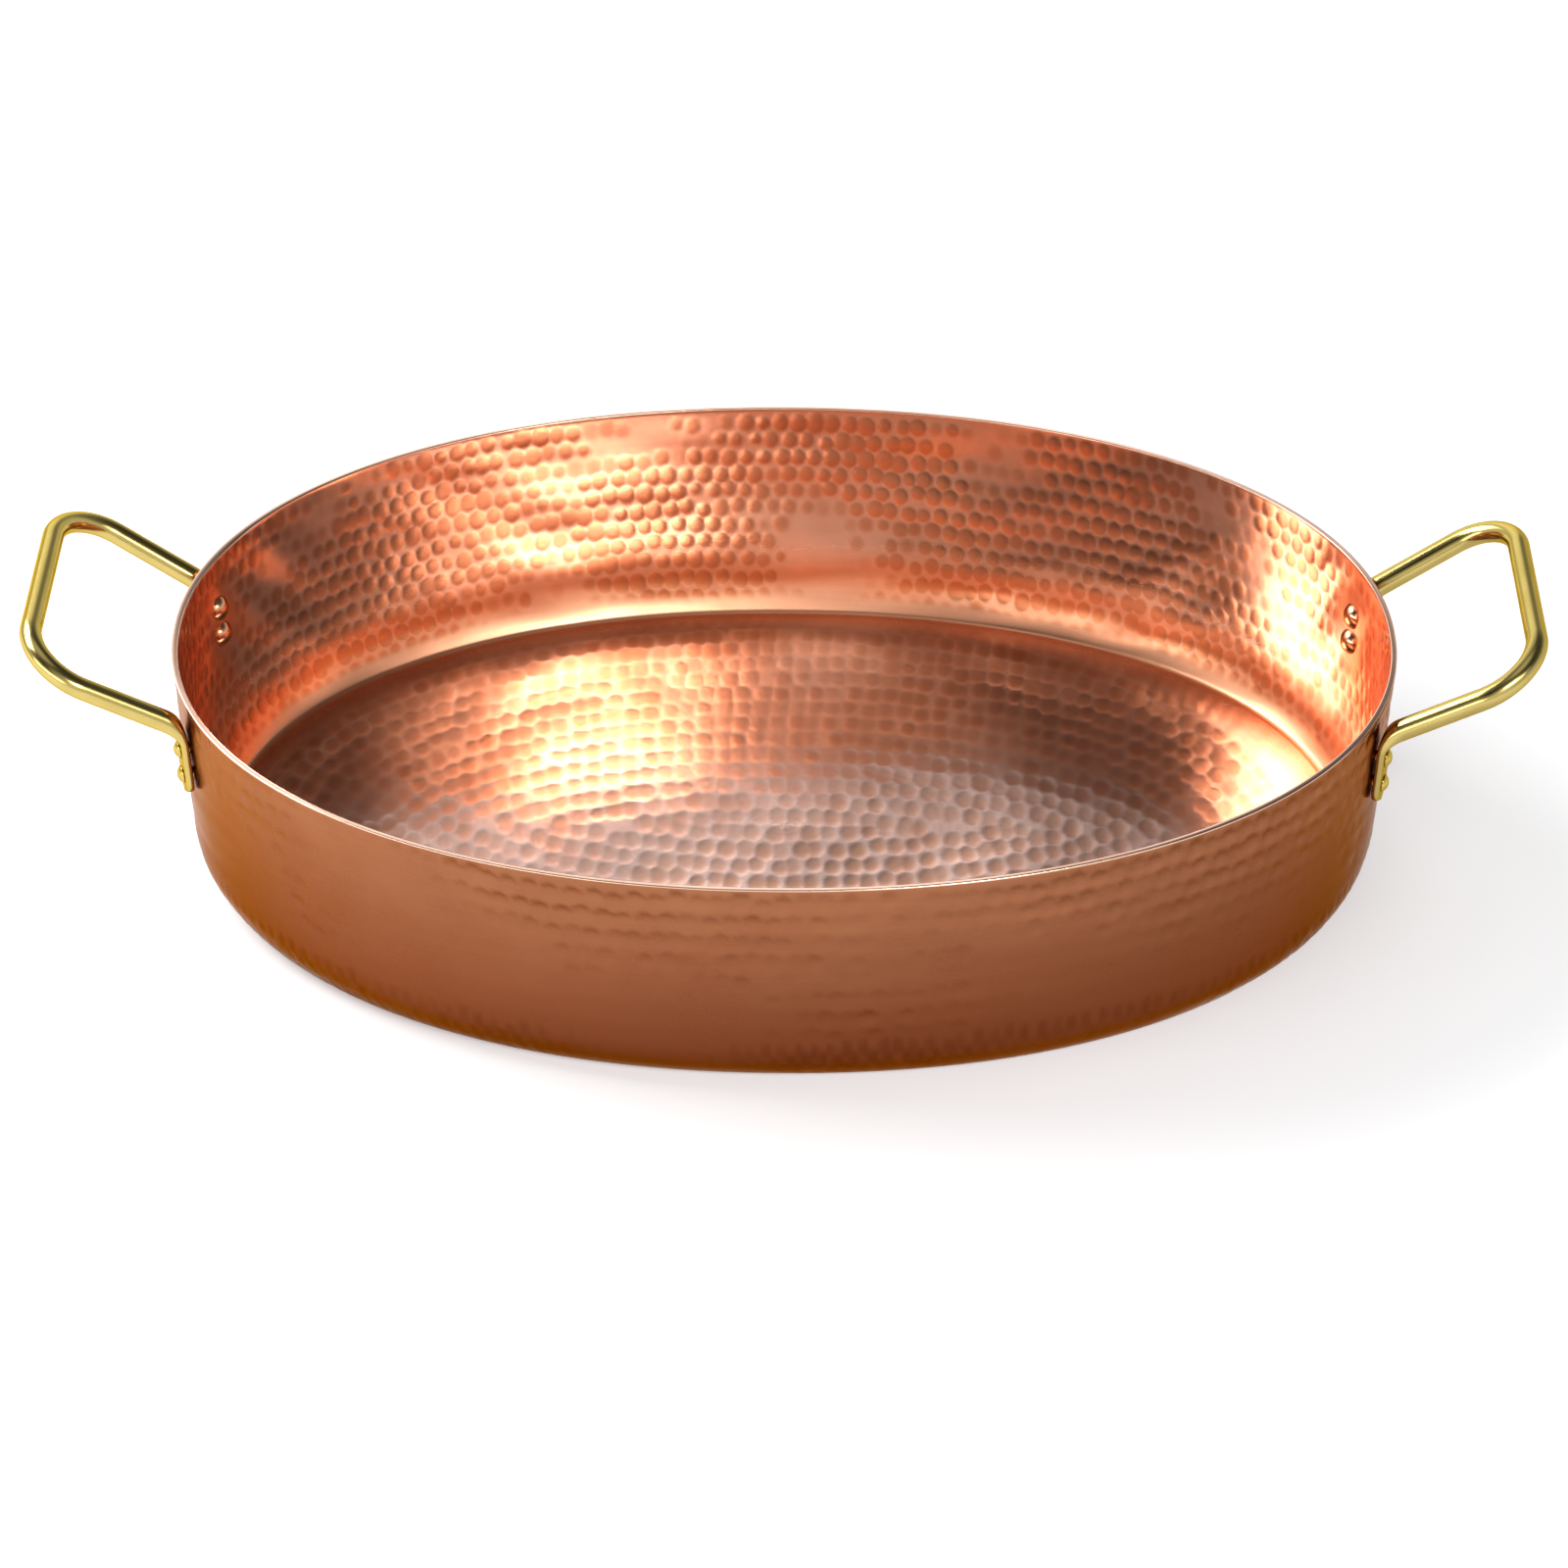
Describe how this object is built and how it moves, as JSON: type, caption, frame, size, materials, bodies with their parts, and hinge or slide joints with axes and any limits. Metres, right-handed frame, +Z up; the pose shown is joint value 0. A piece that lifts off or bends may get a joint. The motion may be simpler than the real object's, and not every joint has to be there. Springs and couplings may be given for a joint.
{
  "type": "oval copper pan",
  "caption": "Wide shallow oval cooking pan of hammered copper sheet, with a loop handle of bent brass rod riveted to each end, for roasting, braising and serving.",
  "frame": {"origin": "centre of the flat underside of the base, on the surface the pan stands on", "axes": "+X along the long axis towards the right handle, +Y towards the back of the picture, +Z up"},
  "size_m": [0.4904, 0.28, 0.1023],
  "materials": {
    "hammered_copper": "hammered copper sheet, satin outside and bright inside",
    "polished_brass": "polished brass rod"
  },
  "bodies": {
    "root": {"pan_body": "hammered_copper", "handle_left": "polished_brass", "handle_right": "polished_brass", "rivet_left_back_lower": "polished_brass", "rivet_left_back_upper": "polished_brass", "rivet_left_front_lower": "polished_brass", "rivet_left_front_upper": "polished_brass", "rivet_right_back_lower": "polished_brass", "rivet_right_back_upper": "polished_brass", "rivet_right_front_lower": "polished_brass", "rivet_right_front_upper": "polished_brass"}
  },
  "joints": []
}
